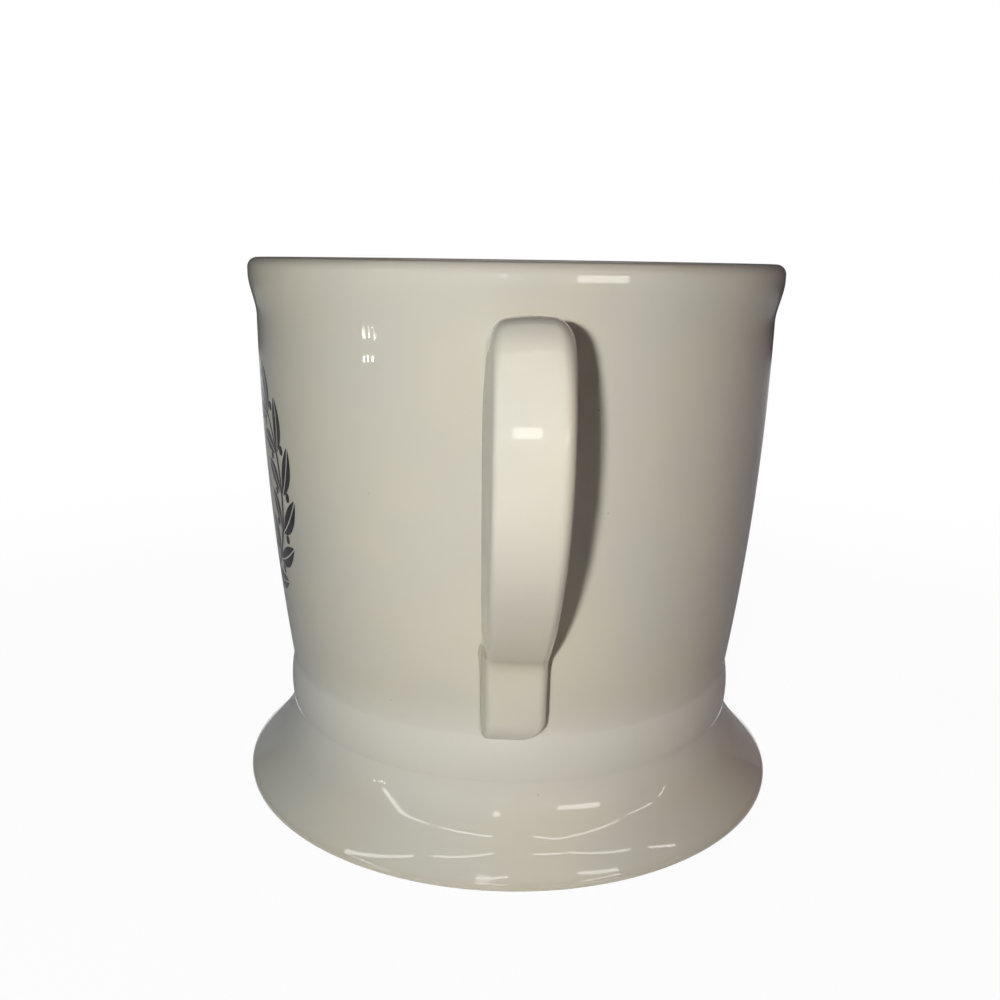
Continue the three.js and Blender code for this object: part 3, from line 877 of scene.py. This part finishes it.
# %% The world
LEFT_FILL, LEFT_STRENGTH = (0.6, 0.98, 1.5, 1), 0.14
RIGHT_FILL, RIGHT_STRENGTH = (1.35, 0.78, 0.92, 1), 0.14
SIDE_BLEND, FRONT_FROM, FRONT_FULL = 0.6, 0.1, 0.8

world = bpy.data.worlds.new("studio")
world.use_nodes = True
world.node_tree.nodes.clear()
air = Wire(world.node_tree)
white = air.node("ShaderNodeBackground", {}, {"Color": WHITE, "Strength": 1.0})
direction = air.node("ShaderNodeTexCoord")
across = direction.node("ShaderNodeSeparateXYZ", {}, {0: direction})
to_right = across.rises(-SIDE_BLEND, SIDE_BLEND)
to_front = (0 - across.output("Y")).rises(FRONT_FROM, FRONT_FULL)
left_fill = air.node("ShaderNodeBackground", {}, {"Color": LEFT_FILL, "Strength": LEFT_STRENGTH})
right_fill = air.node("ShaderNodeBackground", {}, {"Color": RIGHT_FILL, "Strength": RIGHT_STRENGTH})
side_fill = air.node("ShaderNodeMixShader", {}, {0: to_right, 1: left_fill, 2: right_fill})
fill = air.node("ShaderNodeMixShader", {}, {0: to_front, 1: side_fill})
around = air.node("ShaderNodeMixShader", {}, {0: seen_directly(air), 1: fill, 2: white})
air.node("ShaderNodeOutputWorld", {}, {"Surface": around})
bpy.context.scene.world = world
print("the world has", len(world.node_tree.nodes), "nodes")

# %% [markdown]
# ## Flags
# A white thing on white paper loses its edge. Photographers stand grey cards beside it, out of
# the picture, and the glaze mirrors them as a darker rim. Here a grey sheet lies round the foot
# and a curved card stands round the sides and the back, fading out towards the front, so that
# its edge doesn't show in the glaze. The camera doesn't see them and they block no light.

# %% Flags
CARD_NEAR, CARD_FAR, CARD_LIFT, CARD_TOP, CARD_STEPS = 0.0545, 1.15, 0.0004, 1.6, 72
FADE_FROM, FADE_TO = math.radians(25), math.radians(80)
CARD_COLOUR = (0.5, 0.5, 0.5, 1)


def card_ring(name, low, high, material):
    """A ring of quads between two circles, each with its radius and height."""
    points, faces = [], []
    for step in range(CARD_STEPS):
        angle = math.tau * step / CARD_STEPS
        for radius, height in (low, high):
            points.append((radius * math.cos(angle), axis_y + radius * math.sin(angle), height))
        here, there = 2 * step, 2 * ((step + 1) % CARD_STEPS)
        faces.append((here, there, there + 1, here + 1))
    stage_mesh(name, points, faces, material, mirrored_only=True)


card, grey = blank_material("grey_card")
place = grey.node("ShaderNodeTexCoord", output="Object")
x = place.node("ShaderNodeSeparateXYZ", {}, {0: place})
turn = x.math("ARCTAN2", abs(x), axis_y - x.output("Y"))
upright = x.output("Z").rises(CARD_LIFT, 2 * CARD_LIFT)
there = turn.rises(FADE_FROM, FADE_TO).most(1 - upright)
clear = grey.node("ShaderNodeBsdfTransparent")
matt = grey.node("ShaderNodeBsdfDiffuse", {}, {"Color": CARD_COLOUR})
surface = grey.node("ShaderNodeMixShader", {}, {0: there, 1: clear, 2: matt})
grey.node("ShaderNodeOutputMaterial", {}, {"Surface": surface})
card_ring("grey_sheet", (CARD_NEAR, CARD_LIFT), (CARD_FAR, CARD_LIFT), card)
card_ring("grey_screen", (CARD_FAR, CARD_LIFT), (CARD_FAR, CARD_TOP), card)
print("a grey sheet and a screen,", CARD_TOP, "m high")

# %% [markdown]
# ## Lamps
# The main lamp is a small softbox just left of the lens and behind it, which gives the narrow
# shadow on the right of the handle. A large panel lights the back. A place in the studio is
# given by a turn to the right and a rise, both in degrees and seen from the middle of the foot
# with the camera straight ahead, and by a distance in millimetres.

# %% Lamps
KEY_PLACE, KEY_DISTANCE, KEY_SIZE, KEY_POWER = (-7, 23), 286, (0.012, 0.0075), 0.376
KEY_COLOUR, BACK_COLOUR = (0.997, 1.0, 0.989), (1, 1, 1)
BACK_PLACE, BACK_SIZE, BACK_POWER = (0.0, 0.8, 0.25), (0.5, 0.35), 4.5
MUG_MIDDLE = Vector((0, axis_y, 0.05))


def in_studio(turn, rise, distance):
    turn, rise = math.radians(turn), math.radians(rise)
    level = distance * math.cos(rise)
    return Vector((level * math.sin(turn), -level * math.cos(turn), distance * math.sin(rise)))


def lamp(name, place, shape, size, power, colour):
    data = bpy.data.lights.new(name, "AREA")
    data.shape = shape
    data.size, data.size_y = size
    data.energy = power
    data.color = colour
    light = bpy.data.objects.new(name, data)
    light.location = place
    light.rotation_mode = "QUATERNION"
    light.rotation_quaternion = (MUG_MIDDLE - Vector(place)).to_track_quat("-Z", "Y")
    light.visible_camera = False
    bpy.context.scene.collection.objects.link(light)
    return light


key_place = about_axis @ (in_studio(*KEY_PLACE, KEY_DISTANCE) * MM)
key = lamp("softbox_by_the_lens", key_place, "ELLIPSE", KEY_SIZE, KEY_POWER, KEY_COLOUR)
back = lamp("back_panel", BACK_PLACE, "RECTANGLE", BACK_SIZE, BACK_POWER, BACK_COLOUR)
for light in (key, back):
    light.visible_glossy = False
print("the softbox stands at", key_place.to_tuple(3))

# %% [markdown]
# ## Mirrored lamps
# The glaze mirrors bright things: the diffuser of the softbox on the handle, one strip close by
# on both foot and lip, tubes far off in the room as thin lines on foot, lip and shoulder, two
# dim ones behind those, and a few small bulbs. Only their mirror images matter here, so each is
# a flat strip of glow that the camera doesn't see and that gives no other light. A strip has
# two ends, each a turn and a rise, and a width. The strips of a group share one distance.

# %% A group of glowing strips
LAMP_COLOUR = (1.0, 0.98, 0.94, 1)


def glowing_strips(name, distance, strength, strips):
    material, bulb = blank_material(name)
    glow = bulb.node("ShaderNodeEmission", {}, {"Color": LAMP_COLOUR, "Strength": strength})
    bulb.node("ShaderNodeOutputMaterial", {}, {"Surface": glow})
    points, faces = [], []
    for first, last, width in strips:
        start, end = in_studio(*first, distance), in_studio(*last, distance)
        sideways = (end - start).cross((start + end) / 2).normalized() * (width / 2)
        corners = (start - sideways, end - sideways, end + sideways, start + sideways)
        faces.append(tuple(range(len(points), len(points) + 4)))
        points += [about_axis @ (corner * MM) for corner in corners]
    stage_mesh(name, points, faces, material, mirrored_only=True)
    print(name, "has", len(faces), "strips")


# %% [markdown]
# The tubes hang in three rows, one above the other, and the gaps between them are gaps in the
# lines of light on the glaze. The bulbs stand in two short rows, three to a row.

# %% Mirrored lamps
FAR_DISTANCE, FAR_GLOW = 937, 9.0
LOW_ROW = [
    ((-58, 10.5), (-49, 28.5), 40), ((-49, 28.5), (-37, 33.5), 20), ((-32, 35), (-6, 39.5), 15),
    ((13, 39), (24.5, 40), 15), ((24.5, 40), (53, 30), 15), ((57.5, 26.5), (70, 20.5), 15),
    ((73.5, 17), (77, 10.5), 15),
]
MIDDLE_ROW = [
    ((-76, 39), (-45.5, 46), 12), ((-36, 47), (-6, 47), 12), ((13.5, 47), (28.5, 45.5), 11),
    ((30.5, 45), (60.5, 40.5), 10), ((68.5, 38.5), (80.5, 35), 10),
]
HIGH_ROW = [((-15.5, 54), (1.5, 54), 10), ((36.5, 50.5), (55, 46.5), 13)]
DIM_DISTANCE, DIM_GLOW = 980, 5.5
DIM_STRIPS = [((-15.5, 54.5), (-8, 55.5), 54), ((-4, 59), (11.5, 61.5), 76)]
NEAR_DISTANCE, NEAR_STRIP = 343, ((22, 16.5), (41, 16.5), 28)
DIFFUSER_DISTANCE, DIFFUSER_GLOW, DIFFUSER_STRIP = 282.7, 8.5, ((-5.75, 22), (-2.7, 22), 23)
BULB_DISTANCE, BULB_GLOW = 542, 45.0
BULB_ROWS = (((-62.5, 5), (-56, 5), 4), ((-62.5, 2.75), (-57.5, 2.75), 5))
BULB_SHARES = ((0, 0.2), (0.42, 0.56), (0.83, 1))

bulbs = []
for row_start, row_end, bulb_height in BULB_ROWS:
    for shares in BULB_SHARES:
        ends = [lerp(np.array(row_start), np.array(row_end), share) for share in shares]
        bulbs.append((*ends, bulb_height))

glowing_strips("far_lamps", FAR_DISTANCE, FAR_GLOW, LOW_ROW + MIDDLE_ROW + HIGH_ROW)
glowing_strips("near_lamp", NEAR_DISTANCE, FAR_GLOW, [NEAR_STRIP])
glowing_strips("dim_lamps", DIM_DISTANCE, DIM_GLOW, DIM_STRIPS)
glowing_strips("diffuser", DIFFUSER_DISTANCE, DIFFUSER_GLOW, [DIFFUSER_STRIP])
glowing_strips("small_bulbs", BULB_DISTANCE, BULB_GLOW, bulbs)

# %% [markdown]
# ## Finish
# The picture uses the Standard view, so that colours come out as they are written.

# %% Finish
bpy.context.scene.view_settings.view_transform = "Standard"
